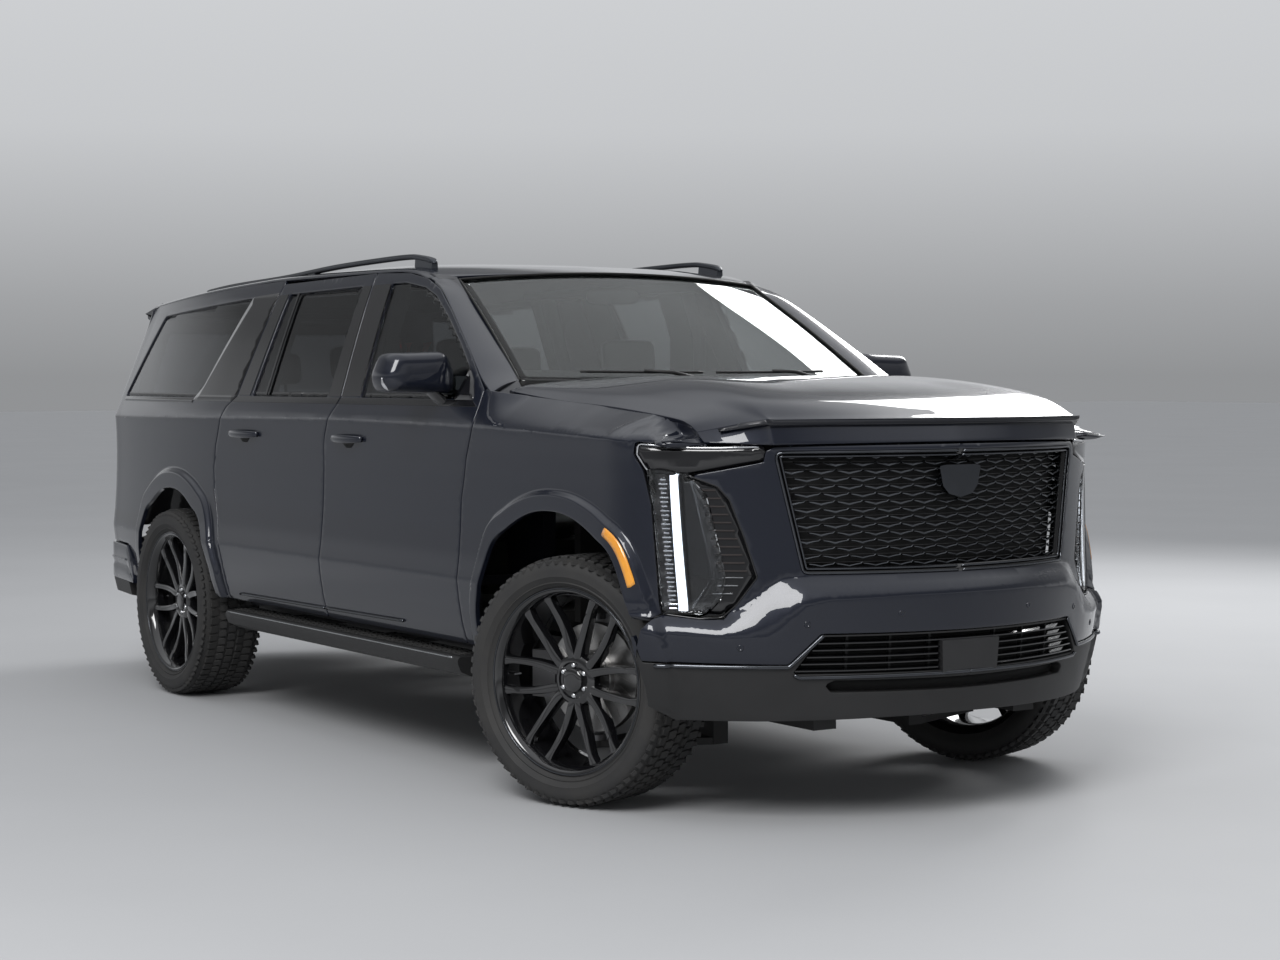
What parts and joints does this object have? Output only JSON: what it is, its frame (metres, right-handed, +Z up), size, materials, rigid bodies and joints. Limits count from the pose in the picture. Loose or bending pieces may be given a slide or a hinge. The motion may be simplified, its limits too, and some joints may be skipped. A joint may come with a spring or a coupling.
{
  "type": "suv",
  "caption": "Full-size four-door sport utility vehicle on a ladder frame, with hinged doors, hood and tailgate, rolling wheels and steered front wheels.",
  "frame": {"origin": "on the ground, under the middle of the length and width", "axes": "+Z up, the front points along -Y, the car's left side is at +X"},
  "size_m": [2.424, 5.7899, 1.926],
  "materials": {
    "paint": "glossy dark blue-black",
    "black_trim": "gloss black",
    "dark_plastic": "matte dark",
    "rail_metal": "satin dark grey",
    "lamp": "clear lens",
    "tail_lamp": "red lens",
    "glass": "tinted",
    "leather": "dark grained",
    "steel": "black underbody coat",
    "cast_metal": "as cast",
    "tyre": "matte",
    "rim": "gloss black"
  },
  "bodies": {
    "body": {"cowl": "dark_plastic", "dashboard": "dark_plastic", "door_frame_left": "paint", "door_frame_right": "paint", "engine_block": "cast_metal", "fender_left": "paint", "fender_right": "paint", "floor_and_firewall": "steel", "front_bumper": "paint", "front_seats": "leather", "front_suspension": "steel", "grille": "black_trim", "headlamps": "lamp", "ladder_frame": "steel", "middle_seats": "leather", "quarter_glass": "glass", "quarter_panel_left": "paint", "quarter_panel_right": "paint", "rear_bumper": "paint", "rear_knuckle_left": "cast_metal", "rear_knuckle_right": "cast_metal", "rear_seats": "leather", "rear_suspension": "steel", "roof_panel": "paint", "roof_rails": "rail_metal", "side_steps": "dark_plastic", "steering_wheel": "dark_plastic", "tail_lamps": "tail_lamp", "windscreen": "glass"},
    "hood": {"hood": "paint"},
    "tailgate": {"tailgate": "paint", "tailgate_glass": "glass"},
    "front_door_left": {"front_door_left": "paint", "front_door_upper_left": "paint", "front_door_glass_left": "glass", "mirror_left": "black_trim"},
    "rear_door_left": {"rear_door_left": "paint", "rear_door_upper_left": "paint", "rear_door_glass_left": "glass"},
    "front_knuckle_left": {"front_knuckle_left": "cast_metal"},
    "front_wheel_left": {"front_tyre_left": "tyre", "front_rim_left": "rim"},
    "rear_wheel_left": {"rear_tyre_left": "tyre", "rear_rim_left": "rim"},
    "front_door_right": {"front_door_right": "paint", "front_door_upper_right": "paint", "front_door_glass_right": "glass", "mirror_right": "black_trim"},
    "rear_door_right": {"rear_door_right": "paint", "rear_door_upper_right": "paint", "rear_door_glass_right": "glass"},
    "front_knuckle_right": {"front_knuckle_right": "cast_metal"},
    "front_wheel_right": {"front_tyre_right": "tyre", "front_rim_right": "rim"},
    "rear_wheel_right": {"rear_tyre_right": "tyre", "rear_rim_right": "rim"}
  },
  "joints": [
    {"name": "front_door_left_hinge", "type": "hinge", "parent": "body", "child": "front_door_left", "pos_m": [0.988, -1.22, 0.88], "axis": [0, 0, -1], "range_deg": [0, 66]},
    {"name": "rear_door_left_hinge", "type": "hinge", "parent": "body", "child": "rear_door_left", "pos_m": [0.988, -0.07, 0.88], "axis": [0, 0, -1], "range_deg": [0, 66]},
    {"name": "front_door_right_hinge", "type": "hinge", "parent": "body", "child": "front_door_right", "pos_m": [-0.988, -1.22, 0.88], "axis": [0, 0, 1], "range_deg": [0, 66]},
    {"name": "rear_door_right_hinge", "type": "hinge", "parent": "body", "child": "rear_door_right", "pos_m": [-0.988, -0.07, 0.88], "axis": [0, 0, 1], "range_deg": [0, 66]},
    {"name": "hood_hinge", "type": "hinge", "parent": "body", "child": "hood", "pos_m": [0, -1.56, 1.36], "axis": [-1, 0, 0], "range_deg": [0, 50]},
    {"name": "tailgate_hinge", "type": "hinge", "parent": "body", "child": "tailgate", "pos_m": [0, 2.506, 1.796], "axis": [1, 0, 0], "range_deg": [0, 80]},
    {"name": "steer_left", "type": "hinge", "parent": "body", "child": "front_knuckle_left", "pos_m": [0.815, -1.91, 0.42], "axis": [0, 0, 1], "range_deg": [-56, 16]},
    {"name": "steer_right", "type": "hinge", "parent": "body", "child": "front_knuckle_right", "pos_m": [-0.815, -1.91, 0.42], "axis": [0, 0, 1], "range_deg": [-56, 16]},
    {"name": "front_wheel_left_spin", "type": "hinge", "parent": "front_knuckle_left", "child": "front_wheel_left", "pos_m": [0.86668, -1.89119, 0.42], "axis": [0.9397, 0.342, 0], "continuous": true},
    {"name": "rear_wheel_left_spin", "type": "hinge", "parent": "body", "child": "rear_wheel_left", "pos_m": [0.87, 1.497, 0.42], "axis": [1, 0, 0], "continuous": true},
    {"name": "front_wheel_right_spin", "type": "hinge", "parent": "front_knuckle_right", "child": "front_wheel_right", "pos_m": [-0.86668, -1.92881, 0.42], "axis": [0.9397, 0.342, 0], "continuous": true},
    {"name": "rear_wheel_right_spin", "type": "hinge", "parent": "body", "child": "rear_wheel_right", "pos_m": [-0.87, 1.497, 0.42], "axis": [1, 0, 0], "continuous": true}
  ],
  "couplings": [
    {"joint": "steer_right", "follows": "steer_left", "ratio": 1}
  ]
}
